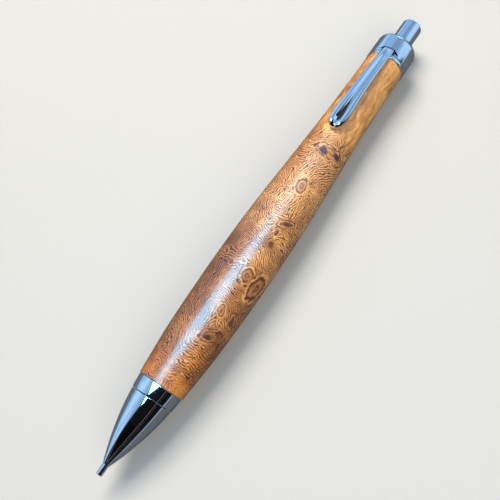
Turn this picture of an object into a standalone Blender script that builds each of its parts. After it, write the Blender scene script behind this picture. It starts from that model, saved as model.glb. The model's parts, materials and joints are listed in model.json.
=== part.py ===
"""A push-button mechanical pencil with a turned burl-wood barrel and chrome fittings, piece by piece.

The pencil lies along X: its writing tip points to -X, its push button to +X, and its clip is up.
The origin is on the surface that the pencil lies on, under the middle of its length.
Every length below is in millimetres along the axis from the writing tip, or a radius from the axis,
unless it says otherwise.
"""

import math

import bmesh
import bpy
from mathutils import Vector

MM = 0.001

# Driving dimensions
TOTAL_LENGTH = 138.0
BELLY_RADIUS = 7.25
LEAD_DIAMETER = 0.7
LEAD_LENGTH = 60.0
KNOCK_TRAVEL = 2.6
CLUTCH_TRAVEL = 1.04
THREAD_TRAVEL = 4.5

FIT = 0.05          # gap between pieces that are pressed together or butt against each other
RUN = 0.1           # gap between pieces that slide on each other
OUTER_SIDES = 64    # sides of the pieces that show
INNER_SIDES = 24    # sides of the small pieces inside

# Stations along the axis
SLEEVE_REACH = 2.5          # the lead sleeve stands this far out of the nose cone
NOSE_END = 19.05
FRONT_RING_START = NOSE_END + RUN
WOOD_START = 22.65
WOOD_END = 122.25
REAR_RING_START = WOOD_END + FIT
REAR_RING_END = 123.3
CAP_START = REAR_RING_END + RUN
CAP_SHOULDER = 129.6
CAP_END = 130.5
THREAD_END = NOSE_END + THREAD_TRAVEL
INSERT_STEP = 25.5
INSERT_END = 32.9
LINER_END = 107.9
CHUCK_FRONT = 11.5
HOUSING_START = 15.0
HOUSING_END = 46.0
TUBE_START = 20.8
TUBE_END = 125.0
COLLAR_START = 30.3
BUTTON_START = 122.6

# Radii
SLEEVE_RADIUS = 0.72
SLEEVE_BORE = 0.43
NOSE_TIP_RADIUS = 0.82
NOSE_BASE_RADIUS = 5.12
NOSE_BULGE = 2.4
THREAD_RADIUS = 3.7
FRONT_RING_RADII = (5.22, 5.6)
WOOD_FRONT_RADIUS = 5.75
CAP_RADIUS = 5.42
CAP_BORE = 4.05
BUTTON_RADIUS = 2.76
BUTTON_BORE = 2.35
LINER_RADIUS = 4.0
TUBE_RADIUS = 1.75
TUBE_BORE = 1.25
LEAD_RADIUS = LEAD_DIAMETER / 2

# The barrel's outline: share of its length from the nose end, and radius
BARREL_STATIONS = (
    (0.0, WOOD_FRONT_RADIUS),
    (0.04, 6.1),
    (0.12, 6.72),
    (0.25, 7.14),
    (0.38, BELLY_RADIUS),
    (0.50, 6.99),
    (0.62, 6.45),
    (0.75, 5.83),
    (0.88, 5.44),
    (1.0, 5.25),
)

# The clip: place along the axis, half width, height of its top above the axis, and thickness
CLIP_STATIONS = (
    (127.2, 1.40, 4.98, 0.48),
    (125.1, 1.40, 4.98, 0.48),
    (124.9, 1.42, 5.38, 0.80),
    (124.2, 1.43, 5.80, 0.62),
    (123.3, 1.44, 6.12, 0.62),
    (122.0, 1.46, 6.38, 0.62),
    (119.0, 1.55, 6.92, 0.72),
    (115.6, 1.62, 7.34, 0.82),
    (112.4, 1.71, 7.63, 0.90),
    (109.6, 1.80, 7.80, 0.95),
    (106.8, 1.92, 7.90, 0.98),
    (104.0, 2.07, 7.92, 1.00),
    (101.3, 2.20, 7.82, 1.00),
    (98.8, 2.09, 7.56, 0.98),
    (97.6, 1.62, 7.30, 0.92),
    (96.9, 1.12, 7.08, 0.82),
    (96.5, 0.62, 6.92, 0.66),
)
CLIP_EDGE_DROP = 0.42           # the rails' outer edges stand this far under their tops
CLIP_GROOVE = 0.68              # the groove's depth, as a share of the clip's thickness
CLIP_HINGE = (125.6, 4.75)      # place along the axis, and height above it
CLIP_SLOT = (97.8, 106.9, 0.6)  # from, to, half width
CLIP_FOOT = (97.5, 6.40, 0.40)  # place, height and radius of the round foot that rests near the wood
CLIP_WINDOW_END = 125.05        # the cap is open above the clip's root up to here
CLIP_POCKET = (127.4, 4.35, 5.12)   # the root's tongue lies in a pocket: its end, between two heights

# A polygon's flat side lies on the surface, so the axis stands lower than the belly's radius
AXIS_HEIGHT = BELLY_RADIUS * math.cos(math.pi / OUTER_SIDES)


def metres(*values):
    return Vector([value * MM for value in values])


def clear_scene():
    for obj in list(bpy.data.objects):
        bpy.data.objects.remove(obj)


def new_collection(name):
    collection = bpy.data.collections.new(name)
    bpy.context.scene.collection.children.link(collection)
    return collection


def new_material(name, colour, roughness, metallic):
    material = bpy.data.materials.new(name)
    material.use_nodes = True
    shader = material.node_tree.nodes["Principled BSDF"]
    shader.inputs["Base Color"].default_value = (*colour, 1.0)
    shader.inputs["Roughness"].default_value = roughness
    shader.inputs["Metallic"].default_value = metallic
    return material


def add_object(name, data, collection, parent, material=None):
    obj = bpy.data.objects.new(name, data)
    collection.objects.link(obj)
    obj.parent = parent
    if material:
        data.materials.append(material)
    return obj


def signed_area(outline):
    """Twice the area inside an outline of (place, radius) points, positive when it runs anticlockwise."""
    pairs = zip(outline, outline[1:] + outline[:1])
    return sum(a[0] * b[1] - b[0] * a[1] for a, b in pairs)


def turned(name, outline, material, sides):
    """A piece turned about the X axis from an outline of (place, radius) points.

    An outline that touches the axis is left open there, and any other is closed into a ring.
    """
    points = list(outline) if signed_area(list(outline)) > 0 else list(outline)[::-1]
    on_axis = [i for i, point in enumerate(points) if point[1] == 0]
    closed = not on_axis
    if on_axis:
        while not (points[0][1] == 0 and points[-1][1] == 0):
            points = points[1:] + points[:1]
    mesh = bpy.data.meshes.new(name)
    half_step = math.pi / sides
    vertices = [
        metres(place, radius * math.cos(half_step), radius * math.sin(half_step))
        for place, radius in points
    ]
    edges = [(i, i + 1) for i in range(len(points) - 1)]
    if closed:
        edges.append((len(points) - 1, 0))
    mesh.from_pydata(vertices, edges, [])
    obj = add_object(name, mesh, PARTS, AXIS, material)
    screw = obj.modifiers.new("turn", "SCREW")
    screw.axis = "X"
    screw.angle = math.tau
    screw.steps = sides
    screw.render_steps = sides
    screw.use_merge_vertices = True
    screw.merge_threshold = 1e-6
    screw.use_smooth_shade = True
    return obj


def ring(name, start, end, bore, radius, material, sides):
    """A plain tube."""
    outline = [(start, bore), (end, bore), (end, radius), (start, radius)]
    return turned(name, outline, material, sides)


def smooth_through(stations, count):
    """Points on a Catmull-Rom curve through stations of (place, radius), count of them in each span."""
    points = []
    last = len(stations) - 1
    for i in range(last):
        before = stations[max(i - 1, 0)]
        a, b = stations[i], stations[i + 1]
        after = stations[min(i + 2, last)]
        width = b[0] - a[0]
        slope_a = (b[1] - before[1]) / (b[0] - before[0])
        slope_b = (after[1] - a[1]) / (after[0] - a[0])
        for k in range(count):
            t = k / count
            hermite = (
                (1 + 2 * t) * (1 - t) ** 2 * a[1]
                + t * (1 - t) ** 2 * width * slope_a
                + t * t * (3 - 2 * t) * b[1]
                + t * t * (t - 1) * width * slope_b
            )
            points.append((a[0] + t * width, hermite))
    points.append(stations[-1])
    return points


def arc(centre, radius, start_deg, end_deg, count):
    """Points (place, radius) on an arc, for a rounded edge."""
    steps = [math.radians(start_deg + (end_deg - start_deg) * k / count) for k in range(count + 1)]
    return [(centre[0] + radius * math.cos(a), centre[1] + radius * math.sin(a)) for a in steps]


def box_cutter(name, low, high, turn=0.0):
    """A box between two corners, turned about the X axis, that cuts another piece."""
    bpy.ops.mesh.primitive_cube_add(size=1)
    obj = bpy.context.object
    obj.name = name
    size = metres(*[h - l for l, h in zip(low, high)])
    centre = metres(*[(l + h) / 2 for l, h in zip(low, high)])
    for vertex in obj.data.vertices:
        vertex.co = Vector([c * s for c, s in zip(vertex.co, size)]) + centre
    return as_cutter(obj, turn)


def prism_cutter(name, outline, low, high):
    """A prism over an outline of (place, across) points, between two heights, that cuts a piece."""
    mesh = bpy.data.meshes.new(name)
    shape = bmesh.new()
    corners = [shape.verts.new(metres(place, across, low)) for place, across in outline]
    face = shape.faces.new(corners)
    lifted = bmesh.ops.extrude_face_region(shape, geom=[face])["geom"]
    moved = [item for item in lifted if isinstance(item, bmesh.types.BMVert)]
    bmesh.ops.translate(shape, verts=moved, vec=metres(0, 0, high - low))
    bmesh.ops.recalc_face_normals(shape, faces=shape.faces)
    shape.to_mesh(mesh)
    shape.free()
    obj = bpy.data.objects.new(name, mesh)
    bpy.context.scene.collection.objects.link(obj)
    return as_cutter(obj)


def as_cutter(obj, turn=0.0):
    for collection in list(obj.users_collection):
        collection.objects.unlink(obj)
    CUTTERS.objects.link(obj)
    obj.parent = AXIS
    obj.rotation_euler = (turn, 0, 0)
    obj.hide_render = True
    obj.display_type = "WIRE"
    return obj


def cut(obj, cutter):
    boolean = obj.modifiers.new("cut_" + cutter.name, "BOOLEAN")
    boolean.operation = "DIFFERENCE"
    boolean.object = cutter


# ---------------------------------------------------------------- nose


def nose_outline(sides_along):
    """The cone's slightly bulging outside, from its tip to its base."""
    points = []
    for k in range(sides_along + 1):
        share = k / sides_along
        place = SLEEVE_REACH + (NOSE_END - SLEEVE_REACH) * share
        straight = NOSE_TIP_RADIUS + (NOSE_BASE_RADIUS - NOSE_TIP_RADIUS) * share
        points.append((place, straight + NOSE_BULGE * share * (1 - share)))
    return points


def make_nose():
    sleeve_seat = 5.4
    retainer_end = 7.7
    ring_stop = 11.1
    outside = nose_outline(11)
    spigot = [
        (NOSE_END, THREAD_RADIUS + 0.25),
        (NOSE_END + 0.35, THREAD_RADIUS),
        (THREAD_END - 0.3, THREAD_RADIUS),
        (THREAD_END, THREAD_RADIUS - 0.3),
    ]
    inside = [
        (THREAD_END, 3.15),
        (15.2, 3.15),
        (13.6, 2.4),
        (ring_stop, 2.4),
        (ring_stop, 1.85),
        (retainer_end, 1.85),
        (retainer_end, 1.35),
        (sleeve_seat, 1.35),
        (sleeve_seat, SLEEVE_RADIUS + FIT),
        (SLEEVE_REACH, SLEEVE_RADIUS + FIT),
    ]
    turned("nose_cone", outside + spigot + inside, CHROME, OUTER_SIDES)
    sleeve = [
        (0.0, SLEEVE_BORE),
        (sleeve_seat - FIT, SLEEVE_BORE),
        (sleeve_seat - FIT, SLEEVE_RADIUS),
        (0.12, SLEEVE_RADIUS),
        (0.0, SLEEVE_RADIUS - 0.12),
    ]
    turned("lead_sleeve", sleeve, CHROME, INNER_SIDES)
    ring(
        "lead_retainer", sleeve_seat + FIT, retainer_end - 0.15,
        0.41, 1.35 - FIT, RUBBER, INNER_SIDES,
    )


# ---------------------------------------------------------------- barrel and what is fixed in it


def make_barrel():
    length = WOOD_END - WOOD_START
    outside = [
        (WOOD_START + share * length, radius)
        for share, radius in smooth_through(BARREL_STATIONS, 2)
    ]
    bore = LINER_RADIUS + FIT
    inside = [
        (WOOD_END, bore),
        (INSERT_END + 0.1, bore),
        (INSERT_END + 0.1, 4.5),
        (WOOD_START, 4.5),
    ]
    turned("barrel", outside + inside, BURL_WOOD, OUTER_SIDES)
    ring(
        "liner_tube", INSERT_END + 0.2, LINER_END,
        LINER_RADIUS - 0.25, LINER_RADIUS, BRASS, INNER_SIDES,
    )


def make_front_fittings():
    insert_radius = 4.42
    ring_bore = insert_radius + FIT
    front, back = FRONT_RING_RADII
    chamfer = 0.18
    outline = [
        (FRONT_RING_START, ring_bore),
        (WOOD_START - FIT, ring_bore),
        (WOOD_START - FIT, back - chamfer),
        (WOOD_START - FIT - chamfer, back),
        (FRONT_RING_START + chamfer, front),
        (FRONT_RING_START, front - chamfer),
    ]
    turned("front_ring", outline, CHROME, OUTER_SIDES)
    step_bore = 3.3
    outline = [
        (FRONT_RING_START + 0.25, THREAD_RADIUS + RUN + 0.2),
        (FRONT_RING_START + 0.55, THREAD_RADIUS + RUN),
        (INSERT_STEP, THREAD_RADIUS + RUN),
        (INSERT_STEP, step_bore),
        (INSERT_END, step_bore),
        (INSERT_END, insert_radius),
        (FRONT_RING_START + 0.25, insert_radius),
    ]
    turned("front_insert", outline, BRASS, 32)


def make_rear_fittings():
    spigot_end = 127.8
    spigot_radius = CAP_BORE - 0.15
    guide_end = 116.0
    outline = [
        (LINER_END + 0.1, TUBE_RADIUS + RUN),
        (guide_end, TUBE_RADIUS + RUN),
        (guide_end, BUTTON_RADIUS + 0.19),
        (spigot_end, BUTTON_RADIUS + 0.19),
        (spigot_end, spigot_radius - 0.2),
        (spigot_end - 0.2, spigot_radius),
        (LINER_END + 0.1, spigot_radius),
    ]
    turned("rear_insert", outline, PLASTIC, 32)
    outline = [
        (REAR_RING_START, spigot_radius + FIT),
        (REAR_RING_END, spigot_radius + FIT),
        (REAR_RING_END, CAP_RADIUS - 0.1),
        (REAR_RING_END - 0.1, CAP_RADIUS),
        (REAR_RING_START, CAP_RADIUS - 0.05),
    ]
    turned("rear_ring", outline, CHROME, OUTER_SIDES)


def make_cap():
    end_radius = 4.75
    outline = [
        (CAP_START, CAP_BORE),
        (128.6, CAP_BORE),
        (128.6, BUTTON_RADIUS + RUN),
        (CAP_END - 0.15, BUTTON_RADIUS + RUN),
        (CAP_END, BUTTON_RADIUS + RUN + 0.15),
        (CAP_END, end_radius - 0.3),
        (CAP_END - 0.25, end_radius),
        (CAP_SHOULDER, CAP_RADIUS),
        (CAP_START + 0.12, CAP_RADIUS),
        (CAP_START, CAP_RADIUS - 0.12),
    ]
    cap = turned("cap", outline, CHROME, OUTER_SIDES)
    pocket_end, pocket_floor, pocket_roof = CLIP_POCKET
    inside_edge = CLIP_STATIONS[0][1] + RUN
    window_edge = CLIP_STATIONS[3][1] + RUN
    window = [
        (CAP_START - 1.0, -2.75),
        (CAP_START + 0.05, -2.75),
        (CAP_START + 1.15, -window_edge),
        (CLIP_WINDOW_END, -window_edge),
    ]
    window += [(place, -across) for place, across in reversed(window)]
    cut(cap, prism_cutter("clip_window", window, pocket_floor + 0.3, 6.5))
    low = (CAP_START - 1.0, -inside_edge, pocket_floor)
    cut(cap, box_cutter("clip_pocket", low, (pocket_end, inside_edge, pocket_roof)))


# ---------------------------------------------------------------- clip


def clip_section(half_width, top, thickness):
    """The clip's cross-section as (across, height) points: two rounded rails with a groove between them."""
    bottom = top - thickness
    groove = CLIP_GROOVE * thickness
    edge = min(CLIP_EDGE_DROP, thickness / 2)
    half = [
        (half_width * 0.9, bottom),
        (half_width, bottom + edge * 0.4),
        (half_width, top - edge),
        (half_width * 0.88, top - edge * 0.3),
        (half_width * 0.62, top),
        (half_width * 0.42, top - groove * 0.25),
        (half_width * 0.2, top - groove * 0.85),
    ]
    mirrored = [(-across, height) for across, height in reversed(half)]
    return half + [(0.0, top - groove)] + mirrored


def make_clip():
    hinge_place, hinge_height = CLIP_HINGE
    shape = bmesh.new()
    loops = []
    for place, half_width, top, thickness in CLIP_STATIONS:
        section = clip_section(half_width, top, thickness)
        loops.append([
            shape.verts.new(metres(place - hinge_place, across, height - hinge_height))
            for across, height in section
        ])
    count = len(loops[0])
    for near, far in zip(loops, loops[1:]):
        for k in range(count):
            following = (k + 1) % count
            shape.faces.new([near[k], near[following], far[following], far[k]])
    shape.faces.new(loops[0])
    shape.faces.new(loops[-1])
    bmesh.ops.triangulate(shape, faces=[f for f in shape.faces if len(f.verts) > 4])
    bmesh.ops.recalc_face_normals(shape, faces=shape.faces)
    mesh = bpy.data.meshes.new("clip")
    shape.to_mesh(mesh)
    shape.free()
    clip = add_object("clip", mesh, PARTS, AXIS, CHROME)
    clip.location = metres(hinge_place, 0, hinge_height)

    start, end, half_width = CLIP_SLOT
    widest = start + 0.3 * (end - start)
    side = [
        (start, half_width * 0.5),
        (start + 0.5, half_width * 0.8),
        (widest, half_width),
        (widest + 2.7, half_width * 0.68),
        (end, 0.04),
    ]
    outline = side + [(place, -across) for place, across in reversed(side)]
    cut(clip, prism_cutter("clip_slot", outline, 5.0, 9.0))

    foot_place, foot_height, foot_radius = CLIP_FOOT
    bpy.ops.mesh.primitive_uv_sphere_add(segments=12, ring_count=8, radius=foot_radius * MM)
    foot = as_cutter(bpy.context.object)
    foot.name = "clip_foot"
    foot.location = metres(foot_place, 0, foot_height)
    union = clip.modifiers.new("foot", "BOOLEAN")
    union.operation = "UNION"
    union.object = foot


# ---------------------------------------------------------------- push button and eraser


def make_button():
    edge = 0.55
    corner = arc((TOTAL_LENGTH - edge, BUTTON_RADIUS - edge), edge, 0, 90, 3)
    wall = 0.9
    outline = [
        (TOTAL_LENGTH, 0),
        *corner,
        (BUTTON_START, BUTTON_RADIUS),
        (BUTTON_START, BUTTON_BORE),
        (TOTAL_LENGTH - wall, BUTTON_BORE),
        (TOTAL_LENGTH - wall, 0),
    ]
    turned("push_button", outline, CHROME, 32)


def make_eraser():
    holder_start = 121.3
    cup_start = TUBE_END + RUN
    cup_floor = cup_start + 0.9
    cup_end = 129.8
    stem_radius = TUBE_BORE - FIT
    cup_radius = BUTTON_BORE - RUN
    eraser_radius = 1.7
    loading_bore = 0.75
    outline = [
        (holder_start, loading_bore),
        (cup_floor, loading_bore),
        (cup_floor, eraser_radius + FIT),
        (cup_end, eraser_radius + FIT),
        (cup_end, cup_radius - 0.15),
        (cup_end - 0.2, cup_radius),
        (cup_start, cup_radius),
        (cup_start, stem_radius),
        (holder_start, stem_radius),
    ]
    turned("eraser_holder", outline, BRASS, INNER_SIDES)
    end = 133.2
    outline = [
        (cup_floor + FIT, 0),
        (cup_floor + FIT, eraser_radius),
        (end - 0.35, eraser_radius),
        (end, eraser_radius - 0.35),
        (end, 0),
    ]
    turned("eraser", outline, ERASER_WHITE, INNER_SIDES)


# ---------------------------------------------------------------- lead mechanism


def make_lead_tube():
    collar_radius = 2.25
    ring("lead_tube", TUBE_START, TUBE_END, TUBE_BORE, TUBE_RADIUS, PLASTIC, INNER_SIDES)
    ring(
        "spring_collar", COLLAR_START, COLLAR_START + 1.4,
        TUBE_RADIUS + FIT, collar_radius, BRASS, INNER_SIDES,
    )


def make_chuck():
    neck = 1.05
    outline = [
        (CHUCK_FRONT, 0.5),
        (CHUCK_FRONT + 0.15, 0.42),
        (24.0, 0.42),
        (24.0, TUBE_BORE - FIT),
        (TUBE_START - FIT, TUBE_BORE - FIT),
        (TUBE_START - FIT, neck),
        (14.0, neck),
        (14.0, 1.25),
        (12.0, 1.6),
        (CHUCK_FRONT, 1.2),
    ]
    chuck = turned("chuck", outline, BRASS, INNER_SIDES)
    for k in range(3):
        low = (CHUCK_FRONT - 0.5, -0.15, 0.0)
        high = (18.5, 0.15, 2.2)
        cut(chuck, box_cutter(f"chuck_slit_{k}", low, high, math.tau * k / 3))
    outline = [
        (12.3, 1.62),
        (14.4, 1.27),
        (14.4, 2.2),
        (12.6, 2.2),
        (12.3, 1.95),
    ]
    turned("clutch_ring", outline, BRASS, INNER_SIDES)


def make_housing():
    bore = 2.35
    flange_start = THREAD_END + 0.2
    outline = [
        (HOUSING_START, 1.25),
        (HOUSING_START + 0.9, 1.25),
        (HOUSING_START + 0.9, bore),
        (HOUSING_END, bore),
        (HOUSING_END, bore + 0.45),
        (INSERT_STEP - 0.1, 2.95),
        (INSERT_STEP - 0.1, THREAD_RADIUS - 0.1),
        (flange_start, THREAD_RADIUS - 0.1),
        (flange_start, 2.95),
        (HOUSING_START + 0.25, 2.95),
        (HOUSING_START, 2.7),
    ]
    turned("chuck_housing", outline, BRASS, INNER_SIDES)


def make_spring():
    wire = 0.15
    mean_radius = 2.04
    start = HOUSING_START + 0.9 + FIT + wire
    end = COLLAR_START - FIT - wire
    end_pitch = 2 * wire + 0.06
    closed_turns = 1.25
    open_turns = 6.5
    turns = open_turns + 2 * closed_turns
    closed_length = closed_turns * end_pitch
    points_per_turn = 12
    count = round(turns * points_per_turn)
    curve = bpy.data.curves.new("return_spring", "CURVE")
    curve.dimensions = "3D"
    curve.bevel_depth = wire * MM
    curve.bevel_resolution = 2
    curve.use_fill_caps = True
    spline = curve.splines.new("POLY")
    spline.points.add(count)
    for k in range(count + 1):
        turn = turns * k / count
        if turn < closed_turns:
            place = start + turn * end_pitch
        elif turn > turns - closed_turns:
            place = end - (turns - turn) * end_pitch
        else:
            share = (turn - closed_turns) / open_turns
            place = start + closed_length + share * (end - start - 2 * closed_length)
        angle = math.tau * turn
        point = metres(place, mean_radius * math.cos(angle), mean_radius * math.sin(angle))
        spline.points[k].co = (*point, 1)
    add_object("return_spring", curve, PARTS, AXIS, STEEL)


def make_leads():
    turned_lead("writing_lead", 0.25, LEAD_LENGTH, (0, 0))
    circle = 0.8
    for k in range(3):
        angle = math.tau * (k / 3 + 0.25)
        offset = (circle * math.cos(angle), circle * math.sin(angle))
        turned_lead(f"spare_lead_{k + 1}", 42.0, LEAD_LENGTH, offset)


def turned_lead(name, start, length, offset):
    outline = [(start, 0), (start, LEAD_RADIUS), (start + length, LEAD_RADIUS), (start + length, 0)]
    lead = turned(name, outline, GRAPHITE, 12)
    lead.location = metres(0, *offset)


clear_scene()
PARTS = new_collection("mechanical_pencil")
CUTTERS = new_collection("cutters")
AXIS = bpy.data.objects.new("pencil_axis", None)
PARTS.objects.link(AXIS)
AXIS.location = metres(-TOTAL_LENGTH / 2, 0, AXIS_HEIGHT)

CHROME = new_material("chrome", (0.80, 0.83, 0.87), 0.06, 1.0)
BURL_WOOD = new_material("burl_wood", (0.52, 0.23, 0.07), 0.22, 0.0)
BRASS = new_material("brass", (0.80, 0.60, 0.28), 0.25, 1.0)
STEEL = new_material("spring_steel", (0.60, 0.60, 0.62), 0.28, 1.0)
PLASTIC = new_material("black_plastic", (0.05, 0.05, 0.055), 0.45, 0.0)
RUBBER = new_material("rubber", (0.03, 0.03, 0.03), 0.7, 0.0)
ERASER_WHITE = new_material("eraser_white", (0.85, 0.84, 0.80), 0.8, 0.0)
GRAPHITE = new_material("graphite", (0.07, 0.07, 0.075), 0.35, 0.3)

make_nose()
make_barrel()
make_front_fittings()
make_rear_fittings()
make_cap()
make_clip()
make_button()
make_eraser()
make_lead_tube()
make_chuck()
make_housing()
make_spring()
make_leads()
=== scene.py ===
"""Looks and light for the mechanical pencil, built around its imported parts.

Places are in millimetres along the axis from the writing tip, and radii in millimetres from the axis.
The lights' and the floor's sizes and distances are in metres.
"""

import json
import math

import bmesh
import bpy
from mathutils import Matrix, Vector


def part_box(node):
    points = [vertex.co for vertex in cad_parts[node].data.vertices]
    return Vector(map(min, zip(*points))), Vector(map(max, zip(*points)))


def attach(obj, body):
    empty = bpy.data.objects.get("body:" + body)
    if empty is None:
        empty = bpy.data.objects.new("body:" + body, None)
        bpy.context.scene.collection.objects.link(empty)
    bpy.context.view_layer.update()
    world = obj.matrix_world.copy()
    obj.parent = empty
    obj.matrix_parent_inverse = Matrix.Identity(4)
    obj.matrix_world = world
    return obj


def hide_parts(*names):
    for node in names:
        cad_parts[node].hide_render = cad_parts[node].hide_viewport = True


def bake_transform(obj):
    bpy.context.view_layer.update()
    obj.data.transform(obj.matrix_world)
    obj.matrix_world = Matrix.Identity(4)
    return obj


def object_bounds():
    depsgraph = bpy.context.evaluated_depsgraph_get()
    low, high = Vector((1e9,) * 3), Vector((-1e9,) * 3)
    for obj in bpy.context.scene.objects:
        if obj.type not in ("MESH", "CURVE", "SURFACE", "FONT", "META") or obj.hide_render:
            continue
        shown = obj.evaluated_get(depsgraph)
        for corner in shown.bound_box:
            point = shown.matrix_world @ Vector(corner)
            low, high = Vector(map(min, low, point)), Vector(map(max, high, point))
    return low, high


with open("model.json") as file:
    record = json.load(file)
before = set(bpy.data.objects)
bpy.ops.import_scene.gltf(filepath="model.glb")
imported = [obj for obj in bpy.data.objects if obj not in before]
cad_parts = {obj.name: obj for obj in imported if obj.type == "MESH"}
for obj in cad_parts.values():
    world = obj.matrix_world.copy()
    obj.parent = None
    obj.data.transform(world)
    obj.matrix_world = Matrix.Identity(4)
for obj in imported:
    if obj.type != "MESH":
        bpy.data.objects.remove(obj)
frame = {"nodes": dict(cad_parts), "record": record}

MM = 0.001
CAD_BOUNDS = [list(corner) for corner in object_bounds()]

TIP_X = CAD_BOUNDS[0][0]
AXIS_Z = (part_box("barrel")[0].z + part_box("barrel")[1].z) / 2
SIDES = 192
SHARP_ANGLE = math.radians(35)


# ---------------------------------------------------------------- places taken from the parts


def span(node):
    """Where a node starts and ends along the axis, in millimetres from the tip."""
    low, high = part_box(node)
    return (low.x - TIP_X) / MM, (high.x - TIP_X) / MM


def radius_of(node):
    """A turned node's largest radius in millimetres."""
    low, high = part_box(node)
    return (high.y - low.y) / 2 / MM


def at(place, across=0.0, height=0.0):
    """The point at a place along the axis, and so far across and above it, in millimetres."""
    return Vector((TIP_X + place * MM, across * MM, AXIS_Z + height * MM))


# ---------------------------------------------------------------- node helpers


def rgba(colour):
    """A colour with its alpha, or a socket as it is."""
    return (*colour, 1.0) if isinstance(colour, tuple) else colour


class Nodes:
    """A node tree, with short ways to add and join nodes."""

    def __init__(self, tree):
        self.tree = tree

    def add(self, kind, **values):
        node = self.tree.nodes.new(kind)
        for key, value in values.items():
            setattr(node, key, value)
        return node

    def put(self, socket, value):
        if isinstance(value, bpy.types.NodeSocket):
            self.tree.links.new(value, socket)
        else:
            socket.default_value = value

    def maths(self, operation, a, b=0.0, clamp=False):
        node = self.add("ShaderNodeMath", operation=operation, use_clamp=clamp)
        self.put(node.inputs[0], a)
        self.put(node.inputs[1], b)
        return node.outputs[0]

    def product(self, *factors):
        result = factors[0]
        for factor in factors[1:]:
            result = self.maths("MULTIPLY", result, factor)
        return result

    def rest_of(self, share):
        return self.maths("SUBTRACT", 1.0, share)

    def off_by(self, value, centre):
        """How far a value is from a centre, either way."""
        return self.maths("ABSOLUTE", self.maths("SUBTRACT", value, centre))

    def split(self, vector):
        """A vector's own X, Y and Z."""
        node = self.add("ShaderNodeSeparateXYZ")
        self.put(node.inputs[0], vector)
        return node.outputs

    def vector(self, operation, a, b=(0.0, 0.0, 0.0)):
        node = self.add("ShaderNodeVectorMath", operation=operation)
        self.put(node.inputs[0], a)
        if operation == "SCALE":
            self.put(node.inputs["Scale"], b)
        else:
            self.put(node.inputs[1], b)
        return node.outputs["Value" if operation in ("LENGTH", "DOT_PRODUCT") else "Vector"]

    def noise(self, coords, scale, detail=3.0, roughness=0.5, distortion=0.0, output="Fac"):
        node = self.add("ShaderNodeTexNoise")
        self.put(node.inputs["Vector"], coords)
        self.put(node.inputs["Scale"], scale)
        self.put(node.inputs["Detail"], detail)
        self.put(node.inputs["Roughness"], roughness)
        self.put(node.inputs["Distortion"], distortion)
        return node.outputs[output]

    def ramp(self, value, stops):
        node = self.add("ShaderNodeValToRGB")
        self.put(node.inputs["Fac"], value)
        elements = node.color_ramp.elements
        while len(elements) < len(stops):
            elements.new(0.5)
        for element, (place, colour) in zip(elements, stops):
            element.position = place
            element.color = rgba(colour)
        return node.outputs["Color"]

    def smooth(self, value, low, high, to_low=0.0, to_high=1.0):
        node = self.add("ShaderNodeMapRange", interpolation_type="SMOOTHSTEP")
        for key, number in zip(("Value", "From Min", "From Max", "To Min", "To Max"),
                               (value, low, high, to_low, to_high)):
            self.put(node.inputs[key], number)
        return node.outputs["Result"]

    def mix(self, factor, a, b, blend="MIX"):
        node = self.add("ShaderNodeMix", data_type="RGBA", blend_type=blend)
        self.put(node.inputs["Factor"], factor)
        colours = [s for s in node.inputs if s.type == "RGBA"]
        self.put(colours[0], rgba(a))
        self.put(colours[1], rgba(b))
        return [s for s in node.outputs if s.type == "RGBA"][0]

    def between(self, factor, a, b):
        """One of two numbers, or a blend of them."""
        node = self.add("ShaderNodeMix", data_type="FLOAT")
        for socket, value in zip([s for s in node.inputs if s.type == "VALUE"], (factor, a, b)):
            self.put(socket, value)
        return node.outputs["Result"]

    def centred_noise(self, coords, scale, detail):
        """Noise in three directions, centred on zero."""
        return self.vector("SUBTRACT", self.noise(coords, scale, detail, output="Color"), (0.5, 0.5, 0.5))

    def voronoi(self, coords, scale):
        node = self.add("ShaderNodeTexVoronoi", feature="F1")
        self.put(node.inputs["Vector"], coords)
        self.put(node.inputs["Scale"], scale)
        return node

    def bump(self, height, strength, distance):
        node = self.add("ShaderNodeBump")
        self.put(node.inputs["Height"], height)
        self.put(node.inputs["Strength"], strength)
        self.put(node.inputs["Distance"], distance)
        return node.outputs["Normal"]


class Surface(Nodes):
    """A new material's nodes, round its Principled shader."""

    def __init__(self, name):
        self.material = bpy.data.materials.new(name)
        self.material.use_nodes = True
        super().__init__(self.material.node_tree)
        self.shader = self.tree.nodes["Principled BSDF"]
        self.coords = self.add("ShaderNodeTexCoord").outputs["Object"]

    def stretched(self, *factors):
        """The object's coordinates, stretched by a factor along each axis."""
        return self.vector("MULTIPLY", self.coords, factors)

    def set(self, **values):
        """Sets the shader's inputs by name, and gives the material."""
        for key, value in values.items():
            self.put(self.shader.inputs[key.replace("_", " ")], value)
        return self.material


# ---------------------------------------------------------------- materials


def chrome():
    nodes = Surface("chrome")
    haze = nodes.noise(nodes.coords, 260, 4)
    marks = nodes.noise(nodes.stretched(1.0, 3.0, 3.0), 1400, 2)
    return nodes.set(
        Base_Color=nodes.mix(haze, (0.86, 0.90, 0.95), (0.93, 0.95, 0.98)),
        Metallic=1.0,
        Roughness=nodes.smooth(haze, 0.35, 0.75, 0.035, 0.085),
        Normal=nodes.bump(marks, 0.005, 0.0004),
    )


def brass():
    nodes = Surface("brass")
    turning = nodes.noise(nodes.stretched(9.0, 0.4, 0.4), 900, 2)
    stain = nodes.noise(nodes.coords, 240, 4)
    return nodes.set(
        Base_Color=nodes.mix(stain, (0.62, 0.42, 0.16), (0.86, 0.66, 0.33)),
        Metallic=1.0,
        Roughness=nodes.smooth(stain, 0.3, 0.7, 0.18, 0.34),
        Normal=nodes.bump(turning, 0.25, 0.00004),
    )


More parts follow.
